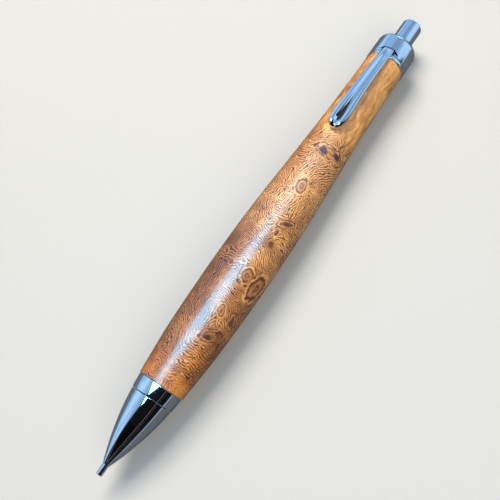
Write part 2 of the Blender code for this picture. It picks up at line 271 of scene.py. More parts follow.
def spring_steel():
    nodes = Surface("spring_steel")
    drawn = nodes.noise(nodes.coords, 2600, 2)
    return nodes.set(
        Base_Color=nodes.mix(drawn, (0.42, 0.42, 0.44), (0.68, 0.68, 0.70)),
        Metallic=1.0,
        Roughness=nodes.smooth(drawn, 0.3, 0.7, 0.22, 0.36),
        Normal=nodes.bump(drawn, 0.1, 0.00003),
    )


def black_plastic():
    nodes = Surface("black_plastic")
    grain = nodes.noise(nodes.coords, 3800, 3)
    return nodes.set(
        Base_Color=nodes.mix(grain, (0.028, 0.028, 0.031), (0.05, 0.05, 0.054)),
        Roughness=nodes.smooth(grain, 0.3, 0.7, 0.38, 0.5),
        Normal=nodes.bump(grain, 0.15, 0.00004),
    )


def rubber():
    nodes = Surface("rubber")
    grain = nodes.noise(nodes.coords, 5200, 4)
    return nodes.set(
        Base_Color=nodes.mix(grain, (0.016, 0.016, 0.016), (0.035, 0.034, 0.033)),
        Roughness=nodes.smooth(grain, 0.3, 0.7, 0.6, 0.8),
        Normal=nodes.bump(grain, 0.25, 0.00005),
    )


def eraser_white():
    nodes = Surface("eraser_white")
    grain = nodes.noise(nodes.coords, 2600, 5)
    smudge = nodes.noise(nodes.coords, 420, 4)
    dusty = nodes.mix(nodes.smooth(smudge, 0.52, 0.72), (0.86, 0.85, 0.81), (0.55, 0.54, 0.53))
    return nodes.set(
        Base_Color=nodes.mix(nodes.smooth(grain, 0.3, 0.7, 0.0, 0.12), dusty, (0.7, 0.69, 0.65)),
        Roughness=nodes.smooth(grain, 0.3, 0.7, 0.72, 0.88),
        Normal=nodes.bump(grain, 0.3, 0.00006),
    )


def graphite():
    nodes = Surface("graphite")
    streaks = nodes.noise(nodes.stretched(0.2, 2.0, 2.0), 3200, 3)
    return nodes.set(
        Base_Color=nodes.mix(streaks, (0.035, 0.035, 0.038), (0.10, 0.10, 0.108)),
        Metallic=0.35,
        Roughness=nodes.smooth(streaks, 0.3, 0.7, 0.3, 0.45),
        Normal=nodes.bump(streaks, 0.2, 0.00003),
    )


# ---------------------------------------------------------------- burl wood


# The barrel's outside: share of its length, radius
BARREL_STATIONS = (
    (0.0, 5.75),
    (0.04, 6.1),
    (0.12, 6.72),
    (0.25, 7.14),
    (0.38, 7.25),
    (0.50, 6.99),
    (0.62, 6.45),
    (0.75, 5.83),
    (0.88, 5.44),
    (1.0, 5.25),
)

# Burl eyes: place along the axis, angle from the top towards +Y in degrees, lean of the long
# radius from the axis in degrees, long and short radius in mm, how dark the heart is, how dark
# the rim is, and how many rings of grain go round it
EYES = (
    (37.5, -40, -58, 2.4, 1.3, 0.0, 0.7, 1.6),
    (36.7, -35, -58, 1.7, 0.8, 1.0, 0.0, 0.0),
    (39.0, -50, -50, 1.1, 0.6, 0.9, 0.0, 0.0),
    (43.6, -28, 20, 1.3, 0.9, 0.0, 0.5, 1.2),
    (42.8, -60, 25, 1.7, 0.8, 0.8, 0.2, 1.5),
    (53.3, -30, -10, 1.9, 1.5, 0.0, 0.6, 1.4),
    (52.3, -62, -12, 3.2, 1.9, 0.0, 1.0, 1.2),
    (62.6, -34, 0, 1.1, 0.9, 0.85, 0.3, 2.5),
    (65.4, -30, 5, 0.9, 0.4, 0.8, 0.0, 0.5),
    (68.8, -37, -58, 1.9, 0.8, 0.9, 0.2, 1.5),
    (67.6, -4, 0, 0.6, 0.5, 0.85, 0.0, 1.0),
    (75.9, 8, 40, 0.8, 0.5, 0.85, 0.0, 1.0),
    (77.2, -5, 0, 0.6, 0.5, 0.85, 0.0, 1.0),
    (79.0, -17, 10, 2.0, 1.3, 0.0, 0.9, 1.2),
    (80.8, -31, 15, 0.8, 0.5, 0.8, 0.0, 1.0),
    (88.4, 45, 30, 1.0, 0.6, 0.7, 0.0, 1.0),
    (90.3, -31, 88, 3.5, 1.6, 0.0, 0.9, 1.6),
    (89.8, -13, 70, 1.8, 1.4, 1.0, 0.0, 0.0),
    (90.8, -48, 95, 2.1, 1.1, 1.0, 0.0, 0.0),
    (25.5, 20, 0, 2.8, 1.9, 0.0, 0.0, 4.0),
    (46.0, 125, 30, 2.4, 1.5, 0.5, 0.6, 3.0),
    (61.0, 95, -30, 1.4, 0.8, 0.9, 0.2, 2.0),
    (72.0, 165, -40, 2.2, 1.2, 0.6, 0.6, 2.5),
    (58.0, 205, 10, 2.6, 1.8, 0.2, 0.8, 3.0),
    (85.0, 110, 60, 1.8, 1.0, 0.8, 0.4, 2.0),
    (34.0, 220, -20, 2.0, 1.3, 0.7, 0.5, 3.0),
    (80.0, 230, 80, 2.6, 1.4, 0.3, 0.6, 3.0),
)

# Where the burl's lines keep a direction: place, angle, the lines' lean from the axis in degrees,
# how many lines to a millimetre, and how far this reaches in mm
FLOWS = (
    (31.0, -45, 88, 1.4, 5.0),
    (39.0, 34, 55, 1.6, 5.0),
    (47.0, -22, 84, 1.7, 3.5),
    (49.0, 36, 12, 1.4, 5.0),
    (59.0, -46, 38, 1.6, 4.5),
    (62.0, 24, -22, 1.6, 4.5),
    (63.5, 0, 72, 1.6, 3.0),
    (69.0, 26, 24, 1.6, 4.0),
    (73.5, -38, -3, 1.4, 4.0),
    (78.0, -58, 85, 1.6, 3.0),
    (83.5, -18, -22, 1.4, 4.0),
    (85.5, -52, -48, 1.4, 3.5),
    (40.0, 130, 30, 1.4, 6.0),
    (56.0, 160, 80, 1.4, 6.0),
    (70.0, 120, -20, 1.4, 6.0),
    (36.0, 210, 85, 1.4, 6.0),
    (66.0, 225, 15, 1.4, 6.0),
    (82.0, 170, -35, 1.4, 6.0),
)

# Broad zones of the wood that a colour deepens or warms: where each begins and is whole along the
# axis, the same across it, and the colour that multiplies the wood's
ZONES = (
    ((70.0, 57.0), (-3.5, 0.5), (0.56, 0.45, 0.31)),
    ((32.0, 27.0), (0.0, 3.0), (1.52, 1.32, 0.72)),
    # Painted shade: this zone and the fifth darken the wood towards its -Y side, which the camera sees as
    # the lower edge
    ((59.0, 47.0), (2.0, -3.0), (0.84, 0.76, 0.70)),
    ((36.0, 28.0), (2.0, -2.0), (1.36, 1.28, 0.85)),
    # Painted shade: darker and more saturated still at the lower edge near the front
    ((43.0, 33.0), (-3.0, -6.5), (0.60, 0.50, 0.28)),
    ((73.0, 81.0), (0.0, 3.0), (0.87, 0.74, 0.50)),
)

# The clip's slot: its start, end and half width
CLIP_SLOT = (97.9, 106.9, 0.45)

# Burl fills the belly and ends between these places, and straight grain runs on under the clip
BURL_END = (95.0, 100.0)

# How many patches of burl to a millimetre, and how many lines to a millimetre inside one
PATCH_SCALE = 0.17
PATCH_LINES = 1.75

# How much finer the known runs and rings are drawn than their tables say
FINER = 1.25

# The wood's colours. The first two are ramps
BURL_BROWNS = (
    (0.38, (0.22, 0.070, 0.015)),
    (0.49, (0.41, 0.155, 0.036)),
    (0.60, (0.68, 0.33, 0.090)),
)
GOLDEN_TANS = (
    (0.33, (0.33, 0.125, 0.024)),
    (0.46, (0.56, 0.245, 0.05)),
    (0.55, (0.66, 0.32, 0.075)),
    (0.67, (0.88, 0.52, 0.16)),
)
PALER_RUN = (0.80, 0.41, 0.125)
BETWEEN_LINES = (0.93, 0.57, 0.22)
FINE_LINES = (0.24, 0.07, 0.015)
DARK_LINES = (0.062, 0.013, 0.004)
EYE_INSIDE = (0.38, 0.145, 0.026)
EYE_DARK = (0.055, 0.014, 0.010)
SPECKS = (0.07, 0.018, 0.008)
PORES = (0.20, 0.062, 0.016)
CLIP_SHADOW = (0.07, 0.045, 0.05)


def on_wood(place, angle, lean):
    """A frame on the barrel's surface, in millimetres: x along the lean, y beside it and z outwards."""
    start, end = span("barrel")
    share = (place - start) / (end - start)
    nearest = min(BARREL_STATIONS, key=lambda station: abs(station[0] - share))
    turn, tilt = math.radians(angle), math.radians(lean)
    outwards = Vector((0.0, math.sin(turn), math.cos(turn)))
    around = Vector((0.0, math.cos(turn), -math.sin(turn)))
    leaning = Vector((math.cos(tilt), 0.0, 0.0)) + around * math.sin(tilt)
    beside = outwards.cross(leaning)
    centre = at(place, *(nearest[1] * value for value in outwards.yz)) / MM
    return centre, Matrix((leaning, beside, outwards)).transposed()


def patchwork(nodes, where):
    """Bundles of straight lines in cells of their own, each with a direction of its own on the wood."""
    cells = nodes.voronoi(where, PATCH_SCALE)
    centre = nodes.vector("SUBTRACT", cells.outputs["Position"], (0.0, 0.0, AXIS_Z / MM))
    outwards = nodes.vector("NORMALIZE", nodes.vector("MULTIPLY", centre, (0.0, 1.0, 1.0)))
    around = nodes.vector("CROSS_PRODUCT", outwards, (1.0, 0.0, 0.0))
    offset = nodes.vector("SUBTRACT", where, cells.outputs["Position"])
    turn = nodes.product(cells.outputs["Color"], 2.0 * math.pi)
    beside = nodes.product(nodes.vector("DOT_PRODUCT", offset, around), nodes.maths("SINE", turn))
    ahead = nodes.product(nodes.vector("DOT_PRODUCT", offset, (1.0, 0.0, 0.0)), nodes.maths("COSINE", turn))
    return nodes.product(nodes.maths("ADD", ahead, beside), PATCH_LINES)


def with_flows(nodes, where, phase):
    """Puts the known runs of grain over a field of lines, each within its own reach."""
    for place, angle, lean, lines, reach in FLOWS:
        centre, axes = on_wood(place, angle, lean)
        offset = nodes.vector("SUBTRACT", where, centre)
        here = nodes.smooth(nodes.vector("LENGTH", offset), reach, reach * 0.8)
        run = nodes.vector("DOT_PRODUCT", offset, axes.col[1] * lines * FINER)
        phase = nodes.between(here, phase, run)
    return phase


def with_eyes(nodes, where, phase):
    """Wraps the lines round the eyes, and finds their dark and their insides."""
    hearts, rims, inside = 0.0, 0.0, 0.0
    worn = nodes.smooth(nodes.noise(where, 0.8, 3.0), 0.42, 0.58, 0.12, 1.0)
    for place, angle, lean, length, width, heart, rim, turns in EYES:
        centre, axes = on_wood(place, angle, lean)
        local = nodes.add("ShaderNodeMapping", vector_type="TEXTURE")
        nodes.put(local.inputs["Vector"], where)
        nodes.put(local.inputs["Location"], centre)
        nodes.put(local.inputs["Rotation"], axes.to_euler())
        nodes.put(local.inputs["Scale"], (length, width, 2.0 * length))
        distance = nodes.vector("LENGTH", local.outputs[0])
        if turns:
            here = nodes.smooth(distance, 1.75, 1.35)
            phase = nodes.between(here, phase, nodes.product(distance, turns * FINER))
        if heart:
            hearts = nodes.maths("MAXIMUM", hearts, nodes.smooth(distance, 0.95, 0.4, 0.0, heart))
        if rim:
            edge = nodes.smooth(nodes.off_by(distance, 0.9), 0.15, 0.02, 0.0, rim)
            rims = nodes.maths("MAXIMUM", rims, edge)
            inside = nodes.maths("MAXIMUM", inside, nodes.smooth(distance, 0.95, 0.7))
    return phase, nodes.maths("MAXIMUM", hearts, nodes.product(rims, worn)), inside


def grain_lines(nodes, phase, start, end):
    """Dark lines where a phase passes each whole number, fading between two distances from it."""
    saw = nodes.maths("FRACT", phase)
    from_line = nodes.maths("SUBTRACT", 0.5, nodes.off_by(saw, 0.5))
    return nodes.smooth(from_line, end, start)


def burl_phase(nodes, where, across, plain):
    """A field whose whole numbers are lines of grain, the eyes' dark, their insides, and bent places."""
    bend = nodes.vector("SCALE", nodes.centred_noise(where, 0.22, 2.0), 3.6)
    tremble = nodes.vector("SCALE", nodes.centred_noise(where, 0.8, 2.0), 1.1)
    bent = nodes.vector("ADD", where, nodes.vector("ADD", bend, tremble))
    shaken = nodes.vector("ADD", where, tremble)
    swaying = nodes.vector("ADD", shaken, nodes.vector("SCALE", bend, 0.3))
    phase = with_flows(nodes, swaying, patchwork(nodes, bent))
    phase, dark, inside = with_eyes(nodes, shaken, phase)
    phase = nodes.maths("ADD", phase, nodes.product(nodes.noise(where, 1.0, 2.0), 1.3))
    wavy = nodes.noise(nodes.vector("MULTIPLY", where, (0.3, 1.0, 1.0)), 0.25, 3.0)
    straight = nodes.maths("ADD", nodes.product(across, 0.5), nodes.product(wavy, 6.0))
    return nodes.between(plain, phase, straight), dark, inside, shaken


def plain_tone(nodes, where):
    """Golden tan with soft darker and lighter streaks that wave along the axis."""
    bends = nodes.noise(where, 0.12, 2.0, output="Color")
    streaky = nodes.vector("ADD", where, nodes.vector("SCALE", bends, 8.0))
    streaky = nodes.vector("MULTIPLY", streaky, (0.16, 1.0, 1.0))
    return nodes.ramp(nodes.noise(streaky, 0.75, 4.0, 0.65, 0.6), GOLDEN_TANS)


def burl_tone(nodes, shaken, along, phase, clear, inside):
    """The burl's browns: a paler run near its middle, pale between the lines, and deeper in the eyes."""
    tone = nodes.ramp(nodes.noise(shaken, 0.16, 3.0, 0.65), BURL_BROWNS)
    paler = nodes.smooth(nodes.off_by(along, 82.0), 16.0, 4.0)
    tone = nodes.mix(nodes.product(paler, 0.5), tone, PALER_RUN)
    between = nodes.rest_of(grain_lines(nodes, phase, 0.3, 0.5))
    tone = nodes.mix(nodes.product(between, nodes.product(clear, 0.6)), tone, BETWEEN_LINES)
    tone = nodes.mix(nodes.product(inside, 0.6), tone, EYE_INSIDE)
    fine = grain_lines(nodes, nodes.product(phase, 2.3), 0.05, 0.45)
    return nodes.mix(nodes.product(fine, nodes.product(clear, 0.2)), tone, FINE_LINES)


def line_strength(nodes, where, along, across, clear):
    """How dark the lines are: broken, and fading in patches and at the front; along the top they fade as a
    painted highlight, where the softbox's gloss falls.
    """
    broken = nodes.smooth(nodes.noise(where, 0.9, 3.0), 0.36, 0.54, 0.42, 1.0)
    patches = nodes.smooth(nodes.noise(where, 0.12, 2.0), 0.35, 0.55, 0.8, 1.0)
    strength = nodes.product(broken, patches, nodes.maths("ADD", clear, 0.2))
    bald = nodes.product(nodes.smooth(along, 28.0, 25.0), nodes.smooth(across, 1.5, -1.0), 0.8)
    # Painted highlight: the lines fade along the top, where the softbox's gloss lies, as if washed out by
    # it
    painted_highlight_fade = nodes.smooth(nodes.off_by(across, 0.6), 3.0, 1.4, 0.0, 0.4)
    painted_highlight_fade = nodes.product(painted_highlight_fade, nodes.smooth(along, 71.0, 61.0))
    strength = nodes.product(strength, nodes.rest_of(bald), nodes.rest_of(painted_highlight_fade))
    return nodes.maths("MULTIPLY", strength, nodes.smooth(across, 0.8, 3.0, 1.0, 2.0), clamp=True)


def zoned(nodes, tone, along, across):
    """Deepens or warms the wood in its broad zones, some of them painted shade on its -Y side, and paints
    the clip's shadow on it under the clip's slot.
    """
    for along_range, across_range, colour in ZONES:
        here = nodes.product(nodes.smooth(along, *along_range), nodes.smooth(across, *across_range))
        tone = nodes.mix(here, tone, colour, "MULTIPLY")
    # Painted shadow: the wood under the clip's slot is darkened as if the clip shaded it
    from_slot = nodes.off_by(along, (CLIP_SLOT[0] + CLIP_SLOT[1]) / 2)
    from_middle = nodes.off_by(across, 0.4)
    shadow = nodes.product(nodes.smooth(from_slot, 5.2, 4.4), nodes.smooth(from_middle, 1.4, 0.8))
    return nodes.mix(shadow, tone, CLIP_SHADOW, "MULTIPLY")


def specked(nodes, tone, where, shaken, clear):
    """Dots the burl with rare dark specks."""
    speck = nodes.smooth(nodes.voronoi(shaken, 0.7).outputs["Distance"], 0.26, 0.12)
    rare = nodes.smooth(nodes.noise(where, 0.4, 1.0), 0.52, 0.60)
    return nodes.mix(nodes.product(speck, nodes.product(rare, clear), 0.8), tone, SPECKS)


def burl_wood():
    """Burl in the belly and straight grain under the clip, below a clear lacquer."""
    nodes = Surface("burl_wood")
    where = nodes.vector("SCALE", nodes.coords, 1.0 / MM)
    parts = nodes.split(where)
    along = nodes.maths("SUBTRACT", parts["X"], TIP_X / MM)
    across = parts["Y"]

    frontier = nodes.maths("ADD", along, nodes.product(nodes.noise(where, 0.2, 2.0), 6.0))
    plain = nodes.smooth(frontier, *BURL_END)
    phase, dark, inside, shaken = burl_phase(nodes, where, across, plain)
    clear = nodes.product(nodes.rest_of(plain), nodes.rest_of(nodes.product(inside, 0.45)))
    lines = grain_lines(nodes, phase, 0.08, 0.32)

    tone = burl_tone(nodes, shaken, along, phase, clear, inside)
    tone = nodes.mix(plain, tone, plain_tone(nodes, where))
    strength = line_strength(nodes, where, along, across, clear)
    tone = nodes.mix(nodes.product(lines, strength), tone, DARK_LINES)
    tone = zoned(nodes, tone, along, across)
    tone = specked(nodes, tone, where, shaken, clear)
    tone = nodes.mix(dark, tone, EYE_DARK)
    pores = nodes.noise(nodes.vector("MULTIPLY", where, (0.35, 1.0, 1.0)), 5.0, 2.0)
    tone = nodes.mix(nodes.smooth(pores, 0.58, 0.72, 0.0, 0.3), tone, PORES)

    return nodes.set(
        Base_Color=tone,
        Roughness=nodes.smooth(lines, 0.0, 1.0, 0.42, 0.55),
        Normal=nodes.bump(nodes.noise(where, 2.4, 3.0), 0.10, 0.00012),
        Coat_Weight=1.0,
        Coat_Roughness=0.24,
        Coat_IOR=1.5,
        Coat_Normal=nodes.bump(nodes.noise(where, 0.9, 3.0), 0.15, 0.0004),
    )


MATERIALS = {
    "chrome": chrome(),
    "burl_wood": burl_wood(),
    "brass": brass(),
    "spring_steel": spring_steel(),
    "black_plastic": black_plastic(),
    "rubber": rubber(),
    "eraser_white": eraser_white(),
    "graphite": graphite(),
}


# ---------------------------------------------------------------- shapes


def filleted(outline, radii, steps=4):
    """An outline of (place, radius) points, each corner rounded by its own radius, or sharp at 0."""
    count = len(outline)
    points = []
    for i, (corner, size) in enumerate(zip(outline, radii)):
        here = Vector(corner)
        before = Vector(outline[i - 1]) - here
        after = Vector(outline[(i + 1) % count]) - here
        size = min(size, 0.45 * before.length, 0.45 * after.length)
        if size <= 0:
            points.append(tuple(corner))
            continue
        start = here + before.normalized() * size
        end = here + after.normalized() * size
        for k in range(steps + 1):
            t = k / steps
            points.append(tuple((1 - t) ** 2 * start + 2 * t * (1 - t) * here + t * t * end))
    return points


def finish_mesh(name, shape):
    """Makes an object of a mesh under construction, smooth but for its sharp edges."""
    bmesh.ops.recalc_face_normals(shape, faces=shape.faces)
    mesh = bpy.data.meshes.new(name)
    shape.to_mesh(mesh)
    shape.free()
    mesh.shade_smooth()
    mesh.set_sharp_from_angle(angle=SHARP_ANGLE)
    piece = bpy.data.objects.new(name, mesh)
    bpy.context.scene.collection.objects.link(piece)
    return piece


def skinned(name, loops):
    """A closed piece with a skin from loop to loop of points, and a flat face over each end."""
    shape = bmesh.new()
    rings = [[shape.verts.new(point) for point in loop] for loop in loops]
    for near, far in zip(rings, rings[1:]):
        for k in range(len(near)):
            following = (k + 1) % len(near)
            shape.faces.new([near[k], near[following], far[following], far[k]])
    shape.faces.new(rings[0])
    shape.faces.new(rings[-1])
    return finish_mesh(name, shape)


def upright_cutter(name, outline, low, high):
    """A prism with an outline of (place, across) points, between two heights above the axis."""
    loops = [[at(place, across, height) for place, across in outline] for height in (low, high)]
    return skinned(name, loops)


def cut(piece, cutter):
    """Takes a cutter out of a piece for good, and drops the cutter."""
    modifier = piece.modifiers.new("cut", "BOOLEAN")
    modifier.operation = "DIFFERENCE"
    modifier.solver = "EXACT"
    modifier.object = cutter
    bpy.context.view_layer.update()
    evaluated = piece.evaluated_get(bpy.context.evaluated_depsgraph_get())
    mesh = bpy.data.meshes.new_from_object(evaluated)
    piece.modifiers.clear()
    piece.data = mesh
    mesh.shade_smooth()
    mesh.set_sharp_from_angle(angle=SHARP_ANGLE)
    bpy.data.objects.remove(cutter)


def lathed(name, outline, sides=SIDES):
    """A closed piece turned about the axis from a closed outline. Points on the axis stay single."""
    shape = bmesh.new()
    rings = []
    for place, radius in outline:
        if radius < 1e-6:
            rings.append([shape.verts.new(at(place))])
            continue
        angles = [math.tau * k / sides for k in range(sides)]
        rings.append([
            shape.verts.new(at(place, radius * math.sin(a), radius * math.cos(a))) for a in angles
        ])
    for near, far in zip(rings, rings[1:] + rings[:1]):
        if len(near) == 1 and len(far) == 1:
            continue
        for k in range(sides):
            corners = [near[k % len(near)], near[(k + 1) % len(near)],
                       far[(k + 1) % len(far)], far[k % len(far)]]
            shape.faces.new(list(dict.fromkeys(corners)))
    return finish_mesh(name, shape)


def smooth_through(stations, count):
    """Points on a smooth curve through stations, count of them in each span."""
    points = []
    last = len(stations) - 1
    for i in range(last):
        before = stations[max(i - 1, 0)]
        a, b = stations[i], stations[i + 1]
        after = stations[min(i + 2, last)]
        width = b[0] - a[0]
        for k in range(count):
            t = k / count
            point = [a[0] + t * width]
            for value in range(1, len(a)):
                slope_a = (b[value] - before[value]) / (b[0] - before[0])
                slope_b = (after[value] - a[value]) / (after[0] - a[0])
                point.append(
                    (1 + 2 * t) * (1 - t) ** 2 * a[value]
                    + t * (1 - t) ** 2 * width * slope_a
                    + t * t * (3 - 2 * t) * b[value]
                    + t * t * (t - 1) * width * slope_b
                )
            points.append(tuple(point))
    points.append(stations[-1])
    return points


def stands_for(piece, node, body, slot):
    """Puts a piece in its node's place: it rides on the body, and takes the slot's material."""
    piece.data.materials.append(MATERIALS[slot])
    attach(piece, body)
    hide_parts(node)


# ---------------------------------------------------------------- nose, sleeve, rings and button


NOSE_SPAN = span("nose_cone")
NOSE_BASE_RADIUS = 5.12
NOSE_TIP_RADIUS = 0.82
NOSE_BULGE = 2.4
NOSE_SHOULDER = span("front_ring")[0] - 0.1

# The nose's hollow, as steps of (place, radius) from its spigot to the bore for the sleeve
NOSE_HOLLOW = (
    (15.2, 3.15),
    (13.6, 2.4),
    (11.1, 2.4),
    (11.1, 1.85),
    (7.7, 1.85),
    (7.7, 1.35),
    (5.4, 1.35),
    (5.4, 0.77),
)

SPIGOT_RADIUS = 3.7
SPIGOT_BORE = 3.15
THREAD_PITCH = 0.75
THREAD_DEPTH = 0.16


def nose_profile(place):
    """The nose cone's radius at a place, between its tip and its base."""
    share = (place - NOSE_SPAN[0]) / (NOSE_SHOULDER - NOSE_SPAN[0])
    taper = (NOSE_BASE_RADIUS - NOSE_TIP_RADIUS) * share
    return NOSE_TIP_RADIUS + taper + NOSE_BULGE * share * (1 - share)


def threaded(start, end):
    """Crests and roots of the thread that screws the nose in, which shows when the nose is undone."""
    root = SPIGOT_RADIUS - THREAD_DEPTH
    points = []
    for k in range(int((end - start) / THREAD_PITCH)):
        place = start + k * THREAD_PITCH
        points += [
            (place, SPIGOT_RADIUS),
            (place + THREAD_PITCH * 0.2, SPIGOT_RADIUS),
            (place + THREAD_PITCH * 0.5, root),
            (place + THREAD_PITCH * 0.7, root),
        ]
    return points


def make_nose():
    start, end = NOSE_SPAN
    count = 40
    places = [start + (NOSE_SHOULDER - start) * k / count for k in range(count + 1)]
    outside = [(place, nose_profile(place)) for place in places]
    outside[0] = (start + 0.06, outside[0][1])
    outside[-1] = (NOSE_SHOULDER - 0.04, outside[-1][1])
    tip_edge = [(start, NOSE_TIP_RADIUS - 0.05), (start + 0.02, NOSE_TIP_RADIUS - 0.012)]
    base = [
        (NOSE_SHOULDER, NOSE_BASE_RADIUS - 0.05),
        (NOSE_SHOULDER, SPIGOT_RADIUS + 0.25),
        (NOSE_SHOULDER + 0.35, SPIGOT_RADIUS),
    ]
    thread = threaded(NOSE_SHOULDER + 0.5, end - 0.4)
    spigot_end = [(end - 0.3, SPIGOT_RADIUS), (end, SPIGOT_RADIUS - 0.3), (end, SPIGOT_BORE)]
    inside = [*NOSE_HOLLOW, (start, NOSE_HOLLOW[-1][1])]
    piece = lathed("nose_cone_polished", tip_edge + outside + base + thread + spigot_end + inside)
    stands_for(piece, "nose_cone", "nose", "chrome")


def make_sleeve():
    start, end = span("lead_sleeve")
    outer = radius_of("lead_sleeve")
    bore = 0.43
    outline = [(start, bore), (start, outer), (end, outer), (end, bore)]
    piece = lathed("lead_sleeve_pipe", filleted(outline, (0.04, 0.14, 0.04, 0.0)), 64)
    stands_for(piece, "lead_sleeve", "tip", "chrome")


def make_front_ring():
    start, end = span("front_ring")
    front, back = 5.22, radius_of("front_ring")
    bore = 4.47
    outline = [(start, bore), (end, bore), (end, back), (start, front)]
    piece = lathed("front_ring_polished", filleted(outline, (0.0, 0.0, 0.22, 0.22)))
    stands_for(piece, "front_ring", "holder", "chrome")


def make_rear_ring():
    start, end = span("rear_ring")
    outer = radius_of("rear_ring")
    bore = 3.95
    outline = [(start, bore), (end, bore), (end, outer), (start, outer)]
    piece = lathed("rear_ring_polished", filleted(outline, (0.0, 0.0, 0.14, 0.1)))
    stands_for(piece, "rear_ring", "holder", "chrome")


def make_button():
    start, end = span("push_button")
    outer = radius_of("push_button")
    bore, wall = 2.35, 0.9
    outline = [(end, 0.0), (end, outer), (start, outer)]
    outline += [(start, bore), (end - wall, bore), (end - wall, 0.0)]
    rounded = filleted(outline, (0, 0.62, 0.12, 0.05, 0.3, 0), 6)
    piece = lathed("push_button_polished", rounded, 128)
    stands_for(piece, "push_button", "button", "chrome")


# ---------------------------------------------------------------- return spring


# The wire's radius, how many turns there are, how many lie close at each end, and how close
SPRING_WIRE = 0.15
SPRING_TURNS = 9.0
CLOSED_TURNS = 1.25
CLOSED_PITCH = 2 * SPRING_WIRE + 0.06


def spring_loops(start, end, middle):
    """Rings of points round the wire of a coil whose first and last turns lie close together."""
    around, section = 32, 10
    first, last = start + SPRING_WIRE, end - SPRING_WIRE
    stretch = last - first - 2 * (CLOSED_TURNS * CLOSED_PITCH)
    loops = []
    for k in range(round(SPRING_TURNS * around) + 1):
        turn = k / around
        share = min(1.0, max(0.0, (turn - CLOSED_TURNS) / (SPRING_TURNS - 2 * CLOSED_TURNS)))
        closed = min(turn, CLOSED_TURNS) + max(0.0, turn - (SPRING_TURNS - CLOSED_TURNS))
        place = first + share * stretch + closed * CLOSED_PITCH
        angle = math.tau * turn
        loop = []
        for i in range(section):
            roll = math.tau * i / section
            radius = middle + SPRING_WIRE * math.cos(roll)
            beside = place + SPRING_WIRE * math.sin(roll)
            loop.append(at(beside, radius * math.cos(angle), radius * math.sin(angle)))
        loops.append(loop)
    return loops


def make_spring():
    """The coil that pushes the knock back, whose front end sits in the holder; the piece is fixed in place
    as it lies at rest.
    """
    start, end = span("return_spring")
    middle = radius_of("return_spring") - SPRING_WIRE
    piece = skinned("return_spring_coil", spring_loops(start, end, middle))
    piece.data.materials.append(MATERIALS["spring_steel"])
    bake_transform(piece)
    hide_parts("return_spring")


# ---------------------------------------------------------------- wooden barrel


def make_barrel():
    start, end = span("barrel")
    bore, counterbore, step = 4.05, 4.5, 33.0
    ease = 0.05
    outside = [
        (start + share * (end - start), radius)
        for share, radius in smooth_through(BARREL_STATIONS, 9)
    ]
    front, back = outside[0][1], outside[-1][1]
    outline = [(start, front - ease), (start + ease, front)]
    outline += outside[1:-1]
    outline += [(end - ease, back), (end, back - ease)]
    outline += [(end, bore), (step, bore), (step, counterbore), (start, counterbore)]
    stands_for(lathed("barrel_burl", outline, 256), "barrel", "holder", "burl_wood")


# ---------------------------------------------------------------- cap and clip


# Place, half width, height of the rails' tops above the axis, thickness
CLIP_STATIONS = (
    (127.2, 1.40, 4.98, 0.48),
    (124.85, 1.40, 4.98, 0.48),
    (124.70, 1.42, 5.38, 0.80),
    (124.2, 1.43, 5.80, 0.62),
    (123.3, 1.44, 6.12, 0.62),
    (122.0, 1.46, 6.38, 0.62),
    (119.0, 1.55, 6.92, 0.72),
    (115.6, 1.62, 7.34, 0.82),
    (112.4, 1.71, 7.63, 0.90),
    (109.6, 1.80, 7.80, 0.95),
    (106.8, 1.92, 7.90, 0.98),
    (104.0, 2.07, 7.92, 1.02),
    (101.3, 2.20, 7.91, 1.06),
    (99.2, 2.18, 7.88, 1.14),
    (98.1, 2.03, 7.80, 1.16),
    (97.3, 1.74, 7.58, 1.06),
    (96.8, 1.40, 7.30, 0.92),
    (96.4, 0.98, 6.98, 0.68),
)
CLIP_TIP = CLIP_STATIONS[-1][0]
GROOVE_START = 124.3

# The cap's bore, and the fine line turned into it: how far it is from the end, and its width
CAP_BORE = 4.05
CAP_LINE = 1.55
CAP_LINE_WIDTH = 0.13

# The heights above the axis of the clip's window, and those of the pocket for its tongue
WINDOW_HEIGHTS = (4.2, 6.5)
POCKET_HEIGHTS = (4.35, 5.12)


def cap_outline():
    """The cap's cross-section, with a turned line and a rounded end, as (place, radius) points."""
    start, end = span("cap")
    outer = radius_of("cap")
    button = radius_of("push_button") + 0.1
    line, wall = end - CAP_LINE, end - 1.9
    corners = (
        ((start, CAP_BORE), 0),
        ((wall, CAP_BORE), 0),
        ((wall, button), 0),
        ((end, button), 0.18),
        ((end, outer - 1.30), 0.25),
        ((end - 0.40, outer - 0.70), 0.3),
        ((end - 0.95, outer - 0.22), 0.3),
        ((line + CAP_LINE_WIDTH, outer - 0.03), 0.03),
        ((line + 0.05, outer - 0.10), 0.03),
        ((line, outer), 0.04),
        ((start, outer), 0.14),
    )
    return filleted([point for point, _ in corners], [radius for _, radius in corners], 5)


def make_cap():
    """A cap with a window that the clip comes out of, and a pocket for the tongue of the clip's root."""
    start = span("cap")[0]
    piece = lathed("cap_polished", cap_outline())
    side = [
        (start - 1.0, 2.0),
        (start + 0.35, 2.0),
        (start + 0.42, 2.85),
        (start + 0.66, 2.85),
        (start + 1.46, 1.53),
        (start + 1.52, 1.53),
    ]
    window = side + [(place, -across) for place, across in reversed(side)]
    cut(piece, upright_cutter("window", window, *WINDOW_HEIGHTS))
    pocket = [(start - 1.0, 1.5), (start + 4.0, 1.5), (start + 4.0, -1.5), (start - 1.0, -1.5)]
    cut(piece, upright_cutter("pocket", pocket, *POCKET_HEIGHTS))
    stands_for(piece, "cap", "holder", "chrome")


